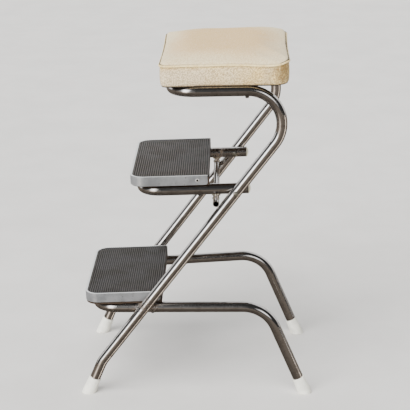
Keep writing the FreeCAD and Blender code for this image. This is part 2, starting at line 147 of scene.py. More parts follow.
# Studio: the room that the chrome mirrors. The window is a tall soft band at the front left of the camera.
SUN_LIGHT = 5.5
BACKGROUND_LIGHT = 1.0
FLOOR_REACH = 60.0
WALL_LIGHT = 1.5
ROOM_LIGHT = 0.06
FLOOR_LIGHT = 0.2
WINDOW_LIGHT = 6.0
WINDOW_HALO = 0.55
WINDOW_FLOOR = 2.2
WINDOW_TURN = math.radians(40)
SIDE_WINDOW_LIGHT = 3.0
SIDE_WINDOW_PLACE = (0.85, 0.42, 0.33)
STRIPE_LIGHT = 4.0
STRIPE_SIDE = 0.16

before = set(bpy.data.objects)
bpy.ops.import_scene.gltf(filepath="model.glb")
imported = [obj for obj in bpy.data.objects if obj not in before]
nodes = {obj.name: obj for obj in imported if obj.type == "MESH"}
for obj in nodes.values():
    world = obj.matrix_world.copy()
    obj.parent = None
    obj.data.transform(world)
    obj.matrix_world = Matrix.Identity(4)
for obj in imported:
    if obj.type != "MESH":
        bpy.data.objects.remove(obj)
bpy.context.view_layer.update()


# Materials

def rgb(red, green, blue):
    """A colour given as it looks on a screen, 0 to 255, as the linear values that a shader takes."""
    parts = [value / 255 for value in (red, green, blue)]
    linear = [part / 12.92 if part <= 0.04045 else ((part + 0.055) / 1.055) ** 2.4 for part in parts]
    return (*linear, 1.0)


class Shade:
    """A material, or a world, whose nodes are made by short calls, placed by the object's own coordinates."""

    def __init__(self, name, library=bpy.data.materials, main="Principled BSDF", place="Object"):
        self.material = library.new(name)
        self.material.use_nodes = True
        self.tree = self.material.node_tree
        self.main = self.tree.nodes[main]
        self.place = self.node("ShaderNodeTexCoord").outputs[place]

    def node(self, kind, **settings):
        made = self.tree.nodes.new(kind)
        for name, value in settings.items():
            setattr(made, name, value)
        return made

    def feed(self, socket, value):
        if isinstance(value, bpy.types.NodeSocket):
            self.tree.links.new(value, socket)
        else:
            socket.default_value = value

    def set(self, **values):
        for name, value in values.items():
            self.feed(self.main.inputs[name.replace("_", " ")], value)
        return self.material

    def stretched(self, scale):
        mapping = self.node("ShaderNodeMapping")
        self.feed(mapping.inputs["Vector"], self.place)
        mapping.inputs["Scale"].default_value = scale
        return mapping.outputs["Vector"]

    def noise(self, scale, detail=2.0, roughness=0.5, stretch=None):
        made = self.node("ShaderNodeTexNoise")
        self.feed(made.inputs["Vector"], self.stretched(stretch) if stretch else self.place)
        made.inputs["Scale"].default_value = scale
        made.inputs["Detail"].default_value = detail
        made.inputs["Roughness"].default_value = roughness
        return made.outputs["Fac"]

    def cells(self, scale, output="Distance"):
        made = self.node("ShaderNodeTexVoronoi")
        self.feed(made.inputs["Vector"], self.place)
        made.inputs["Scale"].default_value = scale
        return made.outputs[output]

    def part(self, name, vector=None):
        split = self.node("ShaderNodeSeparateXYZ")
        self.feed(split.inputs[0], vector or self.place)
        return split.outputs[name]

    def attribute(self, name):
        return self.node("ShaderNodeAttribute", attribute_name=name).outputs["Fac"]

    def math(self, operation, first, second=0.0):
        made = self.node("ShaderNodeMath", operation=operation)
        self.feed(made.inputs[0], first)
        self.feed(made.inputs[1], second)
        return made.outputs[0]

    def both(self, first, *others):
        for other in others:
            first = self.math("MULTIPLY", first, other)
        return first

    def span(self, value, low, high, start=0.0, end=1.0):
        """Goes smoothly from start to end as the value goes from low to high."""
        made = self.node("ShaderNodeMapRange", interpolation_type="SMOOTHSTEP")
        self.feed(made.inputs["Value"], value)
        sizes = (("From Min", low), ("From Max", high), ("To Min", start), ("To Max", end))
        for name, size in sizes:
            made.inputs[name].default_value = size
        return made.outputs["Result"]

    def near(self, point, radius, full=0.0, scale=(1, 1, 1)):
        """1 at a point, falling to 0 at the radius. A scale of 0 leaves that direction out."""
        gap = self.node("ShaderNodeVectorMath", operation="DISTANCE")
        self.feed(gap.inputs[0], self.stretched(scale))
        gap.inputs[1].default_value = [value * size for value, size in zip(point, scale)]
        return self.span(gap.outputs["Value"], full, radius, 1.0, 0.0)

    def mix(self, share, first, second):
        made = self.node("ShaderNodeMix", data_type="RGBA")
        for socket, value in zip((made.inputs[0], made.inputs[6], made.inputs[7]), (share, first, second)):
            self.feed(socket, value)
        return made.outputs[2]

    def bump(self, height, strength, distance, normal=None):
        made = self.node("ShaderNodeBump")
        self.feed(made.inputs["Height"], height)
        made.inputs["Strength"].default_value = strength
        made.inputs["Distance"].default_value = distance
        if normal:
            self.feed(made.inputs["Normal"], normal)
        return made.outputs["Normal"]

    def eased(self, radius):
        """Normal with the sharp edges of sheet metal and plastic a little rounded."""
        made = self.node("ShaderNodeBevel", samples=4)
        made.inputs["Radius"].default_value = radius
        return made.outputs["Normal"]


def chrome(name, stains=(), tarnish=0.0):
    """Old chrome plate: brown pits in patches, fine scuffs, slow waves of drawn tube, stains at given places."""
    s = Shade(name)
    patches = s.span(s.noise(16, 3), 0.54, 0.7)
    pits = s.both(s.span(s.noise(520, 3, 0.6), 0.62, 0.7), patches, 0.6)
    stain = pits
    for point, radius, strength in stains:
        blotch = s.both(s.near(point, radius), s.span(s.noise(110, 4, 0.65), 0.42, 0.56), strength)
        stain = s.math("MAXIMUM", stain, blotch)
    dull = s.both(s.span(s.noise(55, 5, 0.7), 0.45, 0.62), tarnish)
    plate = s.mix(dull, rgb(192, 188, 184), rgb(128, 119, 110))
    rust = s.mix(s.span(s.noise(300, 2), 0.35, 0.65), rgb(74, 50, 32), rgb(140, 108, 66))
    scuffs = s.span(s.noise(60, 4, 0.6), 0.3, 0.75, 0.07, 0.15)
    rough = s.math("ADD", scuffs, s.both(stain, 0.5))
    rough = s.math("ADD", rough, s.both(dull, 0.25))
    waves = s.bump(s.noise(30, 1), 0.06, 0.6 * MM)
    normal = s.bump(stain, 0.35, 0.15 * MM, waves)
    metal = s.span(stain, 0.2, 1.0, 1.0, 0.25)
    return s.set(Base_Color=s.mix(stain, plate, rust), Metallic=metal, Roughness=rough, Normal=normal)


def worn_steel(name, bright, dark, roughness, grain):
    s = Shade(name)
    blotch = s.span(s.noise(grain, 4, 0.6), 0.35, 0.65)
    rough = s.span(s.noise(grain * 3, 2), 0.3, 0.7, roughness - 0.1, roughness + 0.15)
    normal = s.bump(s.noise(grain * 4, 3), 0.25, 0.1 * MM, s.eased(0.25 * MM))
    return s.set(Base_Color=s.mix(blotch, bright, dark), Metallic=0.9, Roughness=rough, Normal=normal)


def weld_bead():
    s = Shade("weld_bead")
    ripple = s.noise(240, 3, 0.6)
    colour = s.mix(s.span(ripple, 0.35, 0.65), rgb(92, 66, 44), rgb(58, 48, 42))
    return s.set(Base_Color=colour, Metallic=0.6, Roughness=0.55, Normal=s.bump(ripple, 0.6, 0.5 * MM))


def aluminium():
    """Rolled edging: fine lines along it, a soft milky patina, small dents and darker marks, and a painted
    highlight on faces that point up.
    """
    s = Shade("aluminium_edging")
    patina = s.span(s.noise(28, 4, 0.6), 0.35, 0.7)
    marks = s.both(s.span(s.noise(170, 4, 0.7), 0.6, 0.7), s.span(s.noise(22, 2), 0.45, 0.6))
    colour = s.mix(patina, rgb(182, 184, 186), rgb(148, 150, 152))
    colour = s.mix(marks, colour, rgb(112, 108, 104))
    # Painted highlight: faces that point up are made near white, for the bright lip.
    upward = s.part("Z", s.node("ShaderNodeTexCoord").outputs["Normal"])
    colour = s.mix(s.both(s.span(upward, 0.5, 0.9), 0.75), colour, rgb(240, 240, 236))
    lines = s.noise(1.0, 3, 0.6, (90, 90, 2600))
    rough = s.math("ADD", s.span(lines, 0.3, 0.7, 0.3, 0.44), s.both(marks, 0.15))
    normal = s.bump(lines, 0.08, 0.05 * MM, s.bump(s.noise(70, 3), 0.25, 0.5 * MM, s.eased(0.5 * MM)))
    return s.set(Base_Color=colour, Metallic=0.68, Roughness=rough, Normal=normal)


def trim_screw(name, centre):
    """Bright screw head round a recess painted dark: painted shade."""
    s = Shade(name)
    recess_shade = s.near(centre, 3.3 * MM, 2.2 * MM, (0, 1, 1))
    colour = s.mix(s.span(s.noise(220, 3), 0.35, 0.65), rgb(252, 252, 248), rgb(214, 210, 204))
    # Painted shade in the recess.
    colour = s.mix(recess_shade, colour, rgb(30, 26, 23))
    return s.set(Base_Color=colour, Metallic=s.span(recess_shade, 0.2, 0.8, 0.25, 0.0), Roughness=0.34)


def ribbed_rubber(name, mat, tone):
    """Charcoal rubber with painted shade between the ribs, near black, greyed on top of them, with scattered
    light specks.
    """
    def toned(*parts):
        return rgb(*[part * tone for part in parts])

    s = Shade(name)
    low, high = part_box(mat)
    slope = (high.z - low.z - MAT_HEIGHT) / (high.y - low.y)
    rise = s.math("SUBTRACT", s.part("Z"), s.both(s.part("Y"), slope))
    top = high.z - slope * high.y
    groove_dirt_and_shade = s.span(rise, top - RIB_SHADE_START, top - RIB_SHADE_END)
    dust = s.span(s.noise(14, 4, 0.6), 0.35, 0.7)
    streaks = s.span(s.noise(1.0, 3, 0.6, (60, 900, 60)), 0.35, 0.7)
    specks = s.both(s.span(s.cells(420), 0.12, 0.05), s.span(s.noise(60, 2), 0.5, 0.62))
    colour = s.mix(s.both(dust, 0.8), toned(66, 62, 58), toned(90, 84, 78))
    colour = s.mix(s.both(streaks, 0.45), colour, toned(112, 105, 98))
    colour = s.mix(s.both(specks, 0.5), colour, toned(150, 143, 135))
    # Painted shade: below the rib tops the flanks and hollows go near black.
    colour = s.mix(s.both(groove_dirt_and_shade, 0.97), colour, rgb(16, 15, 14))
    rough = s.span(dust, 0.0, 1.0, 0.62, 0.8)
    normal = s.bump(s.noise(900, 3), 0.3, 0.1 * MM, s.eased(0.3 * MM))
    return s.set(Base_Color=colour, Roughness=rough, Normal=normal)


def plywood():
    """Old board: thin layers in its height that show on the edges, long grain, dark with age."""
    s = Shade("old_plywood")
    height = s.part("Z")
    layers = s.math("SINE", s.both(height, 2 * math.pi / (3.0 * MM)))
    grain = s.noise(1.0, 4, 0.65, (30, 420, 420))
    colour = s.mix(s.span(grain, 0.3, 0.7), rgb(78, 60, 44), rgb(50, 38, 28))
    colour = s.mix(s.both(s.span(layers, -0.2, 0.4), 0.45), colour, rgb(40, 31, 24))
    colour = s.mix(s.both(s.span(s.noise(24, 4), 0.5, 0.7), 0.6), colour, rgb(36, 30, 25))
    normal = s.bump(grain, 0.3, 0.3 * MM)
    return s.set(Base_Color=colour, Roughness=0.72, Normal=normal)


def ivory(name, tone, roughness, dirty_height):
    """Moulded ivory rubber or plastic with street dirt that thins out upwards."""
    s = Shade(name)
    low = s.span(s.part("Z"), 0.0, dirty_height, 1.0, 0.0)
    dirt = s.both(low, s.span(s.noise(160, 4, 0.7), 0.5, 0.72))
    shade = s.mix(s.span(s.noise(60, 3), 0.35, 0.7), tone, [value * 0.86 for value in tone[:3]] + [1.0])
    colour = s.mix(s.both(dirt, 0.6), shade, rgb(150, 130, 104))
    rough = s.span(s.noise(90, 3), 0.3, 0.7, roughness - 0.06, roughness + 0.1)
    normal = s.bump(s.noise(500, 3), 0.12, 0.15 * MM, s.eased(0.8 * MM))
    return s.set(Base_Color=colour, Roughness=rough, Normal=normal)


def seat_top_vinyl():
    """Cream vinyl: a pinkish sat-on middle, paler rims, a fine mottle and grain, dirt and painted shade in the
    seam.
    """
    s = Shade("seat_top_vinyl")
    rim = s.attribute("rim")
    worn = s.span(s.math("ADD", rim, s.both(s.noise(11, 2), 0.8)), 0.5, 1.5)
    mottle = s.span(s.noise(330, 3, 0.6), 0.36, 0.64)
    colour = s.mix(worn, rgb(228, 188, 122), rgb(238, 222, 180))
    colour = s.mix(s.both(mottle, 0.5), colour, rgb(204, 168, 110))
    colour = s.mix(s.both(s.span(s.noise(560, 2), 0.56, 0.68), 0.5), colour, rgb(250, 242, 222))
    colour = s.mix(s.both(s.span(s.cells(130), 0.1, 0.04), s.span(s.noise(31, 2), 0.62, 0.68), 0.8),
                   colour, rgb(120, 98, 70))
    # The seam's groove is painted dark brown: dirt and painted shade where the piping meets the top.
    colour = s.mix(s.both(s.attribute("groove_dirt_and_shade"), 0.95), colour, rgb(52, 42, 32))
    normal = s.bump(s.cells(900), 0.18, 0.25 * MM, s.bump(s.noise(120, 3), 0.15, 0.5 * MM))
    rough = s.span(mottle, 0.0, 1.0, 0.5, 0.6)
    return s.set(Base_Color=colour, Roughness=rough, Normal=normal)


def seat_band_vinyl():
    """Cream vinyl with a golden fleck that has yellowed most under the piping and to the rear, and dirt and
    painted shade just under the piping.
    """
    s = Shade("seat_band_vinyl")
    rearward = s.span(s.part("Y"), -0.06, 0.19)
    under_seam = s.span(s.attribute("seam"), 14.0 * MM, 1.0 * MM)
    gold = s.math("MAXIMUM", s.both(rearward, 0.8), s.both(under_seam, 0.75))
    gold = s.both(gold, s.span(s.noise(26, 3), 0.25, 0.7, 0.45, 1.0))
    fleck = s.span(s.noise(400, 3, 0.65), 0.4, 0.6)
    pale = s.mix(fleck, rgb(240, 222, 184), rgb(186, 162, 124))
    golden = s.mix(fleck, rgb(246, 214, 128), rgb(178, 132, 56))
    colour = s.mix(gold, pale, golden)
    crumbs = s.span(s.cells(520), 0.24, 0.1)
    colour = s.mix(s.both(crumbs, 0.55), colour, rgb(254, 246, 214))
    corner = s.both(s.near((0.17, 0.185, 0.69), 62 * MM), s.span(s.noise(80, 3), 0.3, 0.55))
    colour = s.mix(s.both(corner, 0.75), colour, rgb(112, 84, 44))
    # Just under the piping the band is painted darker: dirt and painted shade.
    colour = s.mix(s.both(s.attribute("groove_dirt_and_shade"), 0.7), colour, rgb(96, 76, 50))
    normal = s.bump(s.noise(420, 3, 0.6), 0.6, 0.5 * MM)
    return s.set(Base_Color=colour, Roughness=s.span(fleck, 0.0, 1.0, 0.42, 0.6), Normal=normal)


def piping_vinyl():
    s = Shade("piping_vinyl")
    worn = s.span(s.noise(90, 4, 0.6), 0.4, 0.66)
    colour = s.mix(worn, rgb(252, 230, 170), rgb(240, 208, 142))
    colour = s.mix(s.both(s.span(s.noise(340, 3), 0.58, 0.7), 0.5), colour, rgb(168, 138, 92))
    return s.set(Base_Color=colour, Roughness=0.5, Normal=s.bump(s.noise(700, 3), 0.3, 0.15 * MM))


def hem_vinyl_painted_shade():
    """The cover's folded edge, painted dark brown as painted shade under the seat board."""
    s = Shade("hem_vinyl_painted_shade")
    # Painted shade: the cream cover's hem is coloured dark brown, mottled.
    colour = s.mix(s.span(s.noise(70, 4, 0.6), 0.35, 0.65), rgb(62, 52, 40), rgb(38, 32, 26))
    return s.set(Base_Color=colour, Roughness=0.75, Normal=s.bump(s.noise(300, 3), 0.4, 0.4 * MM))


def pale_floor():
    s = Shade("pale_floor")
    tone = s.span(s.noise(5, 4, 0.6), 0.3, 0.7)
    colour = s.mix(tone, rgb(222, 219, 214), rgb(229, 226, 221))
    return s.set(Base_Color=colour, Roughness=0.75, Normal=s.bump(s.noise(160, 3), 0.08, 0.5 * MM))


def dress(material, *names):
    """Gives CAD nodes, or new pieces, a material in place of all they have."""
    for name in names:
        piece = nodes[name] if name in nodes else bpy.data.objects[name]
        piece.data.materials.clear()
        piece.data.materials.append(material)


def middle(name):
    """Middle of a node's box."""
    low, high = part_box(name)
    return (low + high) / 2


def both_sides(point, radius, strength):
    return [((side * point[0], point[1], point[2]), radius, strength) for side in (1, -1)]


def dress_frame():
    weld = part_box("frame_welds")[1]
    lug_low, lug_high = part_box("stop_lug_right")
    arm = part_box("arm_plug_right")[1]
    pivot = middle("pivot_washer_left")
    tread_low, tread_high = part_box("bottom_tread_edging")
    crossing = both_sides(weld, 40 * MM, 0.9)
    far_lug = ((lug_high.x, lug_high.y, lug_high.z + 10 * MM), 32 * MM, 0.75)
    far_pivot = ((arm.x, pivot.y + 4 * MM, pivot.z + 4 * MM), 20 * MM, 0.6)
    under_edging = both_sides((tread_high.x - 8 * MM, tread_low.y + 12 * MM, tread_low.z), 34 * MM, 0.8)
    dress(chrome("chrome_main", crossing + both_sides(pivot, 14 * MM, 0.4), 0.3), "main_frame")
    dress(chrome("chrome_lower", crossing + under_edging, 0.25), "lower_frame")
    dress(chrome("chrome_step", [far_lug, far_pivot], 0.35), "step_frame")
    dress(chrome("chrome_stop", [far_lug], 0.3), "stop_bar", "stop_lug_left", "stop_lug_right")
    dress(weld_bead(), "frame_welds")
    rivets = worn_steel("rivet_steel", rgb(158, 154, 142), rgb(96, 88, 74), 0.38, 140)
    dress(rivets, "pivot_rivet_left", "pivot_rivet_right", "pivot_washer_left", "pivot_washer_right")
    dark = worn_steel("screw_steel", rgb(74, 68, 62), rgb(40, 33, 28), 0.5, 160)
    dress(dark, "seat_screws", "bottom_tread_screws", "middle_tread_screws")
    # The bottom tread's rubber is a darker copy of the middle one's: painted shade.
    for tread, tone in (("bottom", 0.78), ("middle", 0.93)):
        screws, mat = tread + "_edging_screws", tread + "_tread_mat"
        dress(trim_screw(tread + "_trim_screw", middle(screws)), screws)
        dress(ribbed_rubber(tread + "_rubber", mat, tone), mat)
    dress(aluminium(), "bottom_tread_edging", "middle_tread_edging")
    dress(plywood(), "bottom_tread_board", "middle_tread_board", "seat_board")
    rubber = ivory("ivory_rubber", rgb(255, 253, 240), 0.42, 6 * MM)
    dress(rubber, "foot_front_left", "foot_front_right", "foot_rear_left", "foot_rear_right")
    dress(ivory("ivory_plastic", rgb(244, 236, 208), 0.4, 10 * MM), "arm_plug_left", "arm_plug_right")


def make_braze():
    """Lumpy beads of braze where the stop bar's lugs meet the arms."""
    form = bmesh.new()
    for lug in ("stop_lug_left", "stop_lug_right"):
        low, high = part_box(lug)
        x = (low.x + high.x) / 2
        # Places, and radii in millimetres
        beads = (
            (x, low.y - 0.5 * MM, high.z - 1.5 * MM, 3.2),
            (x, high.y + 0.8 * MM, high.z - 1.5 * MM, 3.4),
            (high.x - 1.0 * MM, (low.y + high.y) / 2, high.z - 2.0 * MM, 2.8),
            (low.x + 1.0 * MM, (low.y + high.y) / 2, high.z - 2.0 * MM, 2.8),
            (x, low.y - 0.3 * MM, low.z + 1.5 * MM, 2.4),
            (x, high.y + 0.3 * MM, low.z + 1.5 * MM, 2.2),
        )
        for *place, radius in beads:
            made = bmesh.ops.create_icosphere(form, subdivisions=3, radius=radius * MM)
            for vertex in made["verts"]:
                lump = 1 + 0.25 * noise.noise(Vector(place) * 900 + vertex.co * 700)
                vertex.co = vertex.co * lump + Vector(place)
    braze = finished("stop_braze", form)
    braze.data.materials.append(worn_steel("braze_steel", rgb(214, 208, 192), rgb(132, 122, 96), 0.3, 200))
    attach(braze, "middle_step")


# Seat: outline, cushion, piping and hem

piping_low, piping_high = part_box("seat_piping")
seat_half_width = piping_high.x - PIPING_RADIUS
seat_front = piping_low.y + PIPING_RADIUS
seat_rear = piping_high.y - PIPING_RADIUS
seam_front_height = piping_low.z + PIPING_RADIUS


def on_seat(x, y, height):
    """A point of the seat, its height counted from the seam, in the plane that rises to the rear."""
    below = min(max(1 + height / BAND_HEIGHT, 0.0), 1.0)
    above = min(max(1 - height / CROWN_HEIGHT, 0.0), 1.0)
    lift = far_lift(x, y) * (below - 1) + near_wave(x, y) * (below * above - 1)
    return Vector((x, y - height * math.sin(SEAT_RISE), seam_height(x, y) + height + lift))


def seam_height(x, y):
    return seam_front_height + (y - seat_front) * math.tan(SEAT_RISE) + far_lift(x, y) + near_wave(x, y)


def back_share(y):
    """0 at the front of the seat, 1 at its rear."""
    return min(max((y - seat_front) / (seat_rear - seat_front), 0.0), 1.0)


def far_lift(x, y):
    return FAR_LIFT * far_share(x) * back_share(y) ** 0.5


def near_wave(x, y):
    """The seam's sag and rise towards the rear of the near side."""
    share = back_share(y)
    kick = min(max((share - KICK_START) / (1 - KICK_START), 0.0), 1.0)
    wave = SEAM_KICK * kick * kick * (3 - 2 * kick) - SAG * math.exp(-((share - SAG_MIDDLE) / SAG_REACH) ** 2)
    return wave * min(max(x / seat_half_width, 0.0), 1.0) ** 4


def seat_height(point):
    return point.z - seam_height(point.x, point.y)


def seat_outline(inset):
    """Points round the seat, a set distance inside its outline, each side drawn in between its corners."""
    half = seat_half_width - inset
    front, rear = seat_front + inset, seat_rear - inset
    grown = CORNER_GROWTH * max(inset, 0.0)
    front_corner, rear_corner = [min(size + grown, CORNER_LIMIT * (rear - front) / 2)
                                 for size in (FRONT_CORNER, REAR_CORNER)]
    corners = (
        (half, front, front_corner, -90),
        (half, rear, rear_corner, 0),
        (-half, rear, rear_corner, 90),
        (-half, front, front_corner, 180),
    )
    arcs = []
    for x, y, radius, start in corners:
        centre = Vector((x - math.copysign(radius, x), y + (radius if y == front else -radius), 0))
        angles = [math.radians(start + 90 * step / CORNER_STEPS) for step in range(CORNER_STEPS + 1)]
        arcs.append([centre + Vector((math.cos(a), math.sin(a), 0)) * radius for a in angles])
    points = []
    for arc, following in zip(arcs, arcs[1:] + arcs[:1]):
        points += arc
        run = following[0] - arc[-1]
        inward = Vector((-run.y, run.x, 0)).normalized()
        for step in range(1, SIDE_STEPS):
            along = step / SIDE_STEPS
            points.append(arc[-1] + run * along + inward * SIDE_DRAW * (1 - (2 * along - 1) ** 2))
    return [skewed(point) for point in points]


def far_share(x):
    return 0.5 - 0.5 * x / seat_half_width


def skewed(point):
    return point + Vector((0, REAR_SKEW * back_share(point.y) ** 2 * far_share(point.x), 0))


def lofted(name, rings, caps=True):
    """A mesh through rings of equally many points, closed at both ends."""
    form = bmesh.new()
    made = [[form.verts.new(point) for point in ring] for ring in rings]
    for lower, upper in zip(made, made[1:]):
        count = len(lower)
        for step in range(count):
            following = (step + 1) % count
            form.faces.new((lower[step], lower[following], upper[following], upper[step]))
    if caps:
        form.faces.new(list(reversed(made[0])))
        form.faces.new(made[-1])
    return finished(name, form)


def finished(name, form, smooth=True):
    bmesh.ops.recalc_face_normals(form, faces=form.faces)
    mesh = bpy.data.meshes.new(name)
    form.to_mesh(mesh)
    form.free()
    mesh.polygons.foreach_set("use_smooth", [smooth] * len(mesh.polygons))
    piece = bpy.data.objects.new(name, mesh)
    bpy.context.scene.collection.objects.link(piece)
    return piece


def modified(piece, kind, **settings):
    """Applies one modifier to a piece."""
    modifier = piece.modifiers.new(kind, kind)
    for name, value in settings.items():
        setattr(modifier, name, value)
    seen = piece.evaluated_get(bpy.context.evaluated_depsgraph_get())
    mesh = bpy.data.meshes.new_from_object(seen)
    piece.modifiers.clear()
    piece.data = mesh
    mesh.polygons.foreach_set("use_smooth", [True] * len(mesh.polygons))


def seam_distance(point):
    """How far a point lies from the line of the seam, on the flat plan of the seat and in height."""
    half = seat_half_width
    middle = (seat_front + seat_rear) / 2
    depth = (seat_rear - seat_front) / 2
    corner = REAR_CORNER if point.y > middle else FRONT_CORNER
    out_x = abs(point.x) - (half - corner)
    out_y = abs(point.y - middle) - (depth - corner)
    if out_x > 0 and out_y > 0:
        inward = corner - math.hypot(out_x, out_y)
    else:
        inward = corner - max(out_x, out_y)
    return inward, seat_height(point)


def blow_up(cushion):
    """Fills the cushion by cloth simulation. The seam and the underside are held, and no point goes far."""
    rest = [vertex.co.copy() for vertex in cushion.data.vertices]
    gaps = [seam_distance(point) for point in rest]
    held = [i for i, (inward, height) in enumerate(gaps)
            if height < -BAND_HEIGHT + SEAM_HOLD or (abs(height) < SEAM_HOLD and inward < 2 * SEAM_HOLD)]
    group = cushion.vertex_groups.new(name="held")
    group.add(held, 1.0, "REPLACE")
    cloth = cushion.modifiers.new("Cloth", "CLOTH")
    cloth.settings.vertex_group_mass = "held"
    cloth.settings.use_pressure = True
    cloth.settings.uniform_pressure_force = CLOTH_PRESSURE
    cloth.settings.effector_weights.gravity = 0.0
    cloth.point_cache.frame_start = 1
    cloth.point_cache.frame_end = CLOTH_FRAMES
    for number in range(1, CLOTH_FRAMES + 1):
        bpy.context.scene.frame_set(number)
    seen = cushion.evaluated_get(bpy.context.evaluated_depsgraph_get())
    blown = [vertex.co.copy() for vertex in seen.data.vertices]
    cushion.modifiers.clear()
    cushion.vertex_groups.clear()
    bpy.context.scene.frame_set(1)
    for vertex, start, end, (inward, height) in zip(cushion.data.vertices, rest, blown, gaps):
        limit = CROWN_SWELL if height > 0 else BAND_SWELL
        move = end - start
        if move.length > limit:
            move = move.normalized() * limit
        vertex.co = start + move


def level_crown(cushion):
    """Brings the top of the crown to the height that the frame holds, fuller at the far rear corner."""
    top = max(seat_height(vertex.co) for vertex in cushion.data.vertices)
    for vertex in cushion.data.vertices:
        height = seat_height(vertex.co)
        if height > 0:
            vertex.co.z += height * (CROWN_HEIGHT / top - 1)
            away = math.hypot(vertex.co.x - FULL_CORNER[0], vertex.co.y - FULL_CORNER[1])
            rise = FULL_CORNER_RISE * min(height / FULL_CORNER_START, 1.0)
            vertex.co.z += rise * math.exp(-(away / FULL_CORNER_REACH) ** 2)


def ease_surface(cushion):
    """Soft lumps of old filling, and small puckers along the seam where the cover is gathered."""
    normals = [vertex.normal.copy() for vertex in cushion.data.vertices]
    for vertex, normal in zip(cushion.data.vertices, normals):
        inward, height = seam_distance(vertex.co)
        if height < -BAND_HEIGHT + SEAM_HOLD:
            continue
        lumps = noise.noise(vertex.co * LUMP_SCALE) * LUMP_HEIGHT
        fade = math.exp(-(abs(height) + max(inward, 0.0) * 0.5) / PUCKER_REACH)
        place = Vector((vertex.co.x * PUCKER_SCALE, vertex.co.y * PUCKER_SCALE, 5.0))
        puckers = noise.noise(place) * PUCKER_HEIGHT * fade
        vertex.co += normal * (lumps * (1 - fade) + puckers)


def record_seam(cushion):
    """Writes what the materials need: distance below or above the seam, rim of the top, and the groove's dirt
    and painted shade.
    """
    mesh = cushion.data
    middle, depth = (seat_front + seat_rear) / 2, (seat_rear - seat_front) / 2
    seam, rim, groove_dirt_and_shade = [], [], []
    for vertex in mesh.vertices:
        inward, height = seam_distance(vertex.co)
        ragged = noise.noise(vertex.co * RAGGED_SCALE) * RAGGED_EDGE
        gap = math.hypot(max(inward, 0.0), height) if height > 0 else abs(height)
        seam.append(gap)
        across, along = vertex.co.x / seat_half_width, (vertex.co.y - middle) / depth
        outward = math.hypot(across ** 2, along ** 2) ** 0.5
        rim.append(max(0.0, outward * RIM_GAIN - RIM_START))
        # Dirt and painted shade in the groove by the piping, mostly along the front and rear.
        at_end = abs(vertex.co.y - middle) > depth - END_DIRT_AND_SHADE
        from_piping = max(gap + ragged - PIPING_RADIUS, 0.0)
        groove_dirt_and_shade.append((1.0 if at_end else SIDE_DIRT_AND_SHADE_SHARE) * max(0.0, 1.0 - from_piping / DIRT_AND_SHADE_FADE))
    for name, values in (("seam", seam), ("rim", rim), ("groove_dirt_and_shade", groove_dirt_and_shade)):
        mesh.attributes.new(name, "FLOAT", "POINT").data.foreach_set("value", values)


def seat_rings(rings, full_height):
    """Rings of points, each some way inside the seat's outline and at a share of the height from the seam."""
    return [[on_seat(point.x, point.y, share * full_height) for point in seat_outline(inset * MM)]
            for inset, share in rings]


def make_cushion():
    band = seat_rings(BAND_RINGS, BAND_HEIGHT)
    crown = seat_rings(CROWN_RINGS, CROWN_HEIGHT)
    cushion = lofted("seat_cushion", band + crown[1:])
    modified(cushion, "REMESH", mode="VOXEL", voxel_size=VOXEL)
    blow_up(cushion)
    modified(cushion, "SMOOTH", factor=0.5, iterations=3)
    crown_group = cushion.vertex_groups.new(name="crown")
    for vertex in cushion.data.vertices:
        inward, height = seam_distance(vertex.co)
        if height > 0:
            share = min(max((inward - SMOOTHING_START) / SMOOTHING_REACH, 0.0), 1.0)
            crown_group.add([vertex.index], share, "REPLACE")
    modified(cushion, "SMOOTH", factor=0.5, iterations=CROWN_SMOOTHING, vertex_group="crown")
    cushion.vertex_groups.clear()
    modified(cushion, "SUBSURF", levels=1, render_levels=1)
    level_crown(cushion)
    ease_surface(cushion)
    record_seam(cushion)
    cushion.data.materials.append(seat_top_vinyl())
    cushion.data.materials.append(seat_band_vinyl())
    for face in cushion.data.polygons:
        face.material_index = 0 if seat_height(face.center) > 0 else 1
    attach(cushion, "frame")
    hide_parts("seat_padding", "seat_top_panel", "seat_band")


def swept(name, path, radius, sides=14, closed=True):
    """A round tube along points. The radius may be a number or one for each point."""
    form = bmesh.new()
    rings = []
    count = len(path)
    for step, point in enumerate(path):
        ahead = path[(step + 1) % count] if closed or step + 1 < count else point
        behind = path[step - 1] if closed or step else point
        forward = (ahead - behind).normalized()
        side = forward.cross(Vector((0, 0, 1))).normalized()
        rise = side.cross(forward)
        size = radius[step] if isinstance(radius, list) else radius
        angles = [2 * math.pi * turn / sides for turn in range(sides)]
        offsets = [(side * math.cos(angle) + rise * math.sin(angle)) * size for angle in angles]
        rings.append([form.verts.new(point + offset) for offset in offsets])
    pairs = list(zip(rings, rings[1:] + rings[:1])) if closed else list(zip(rings, rings[1:]))
    for ring, following in pairs:
        for turn in range(sides):
            after = (turn + 1) % sides
            form.faces.new((ring[turn], ring[after], following[after], following[turn]))
    if not closed:
        form.faces.new(list(reversed(rings[0])))
        form.faces.new(rings[-1])
    return finished(name, form)


def make_piping():
    """Cord sewn into the seam: it wanders a little up and down and swells where the cover is gathered."""
    path, sizes = [], []
    for point in seat_outline(0.0):
        place = on_seat(point.x, point.y, 0.0)
        wander = noise.noise(place * WANDER_SCALE) * WANDER_HEIGHT
        wander += noise.noise(place * JITTER_SCALE) * JITTER_HEIGHT
        path.append(place + Vector((0, 0, wander)))
        sizes.append(PIPING_SHOWN_RADIUS * (1.0 + SWELL_SHARE * noise.noise(place * SWELL_SCALE)))
    cord = swept("seat_piping_cord", path, sizes)
    modified(cord, "SUBSURF", levels=1, render_levels=1)
    cord.data.materials.append(piping_vinyl())
    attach(cord, "frame")
    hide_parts("seat_piping")


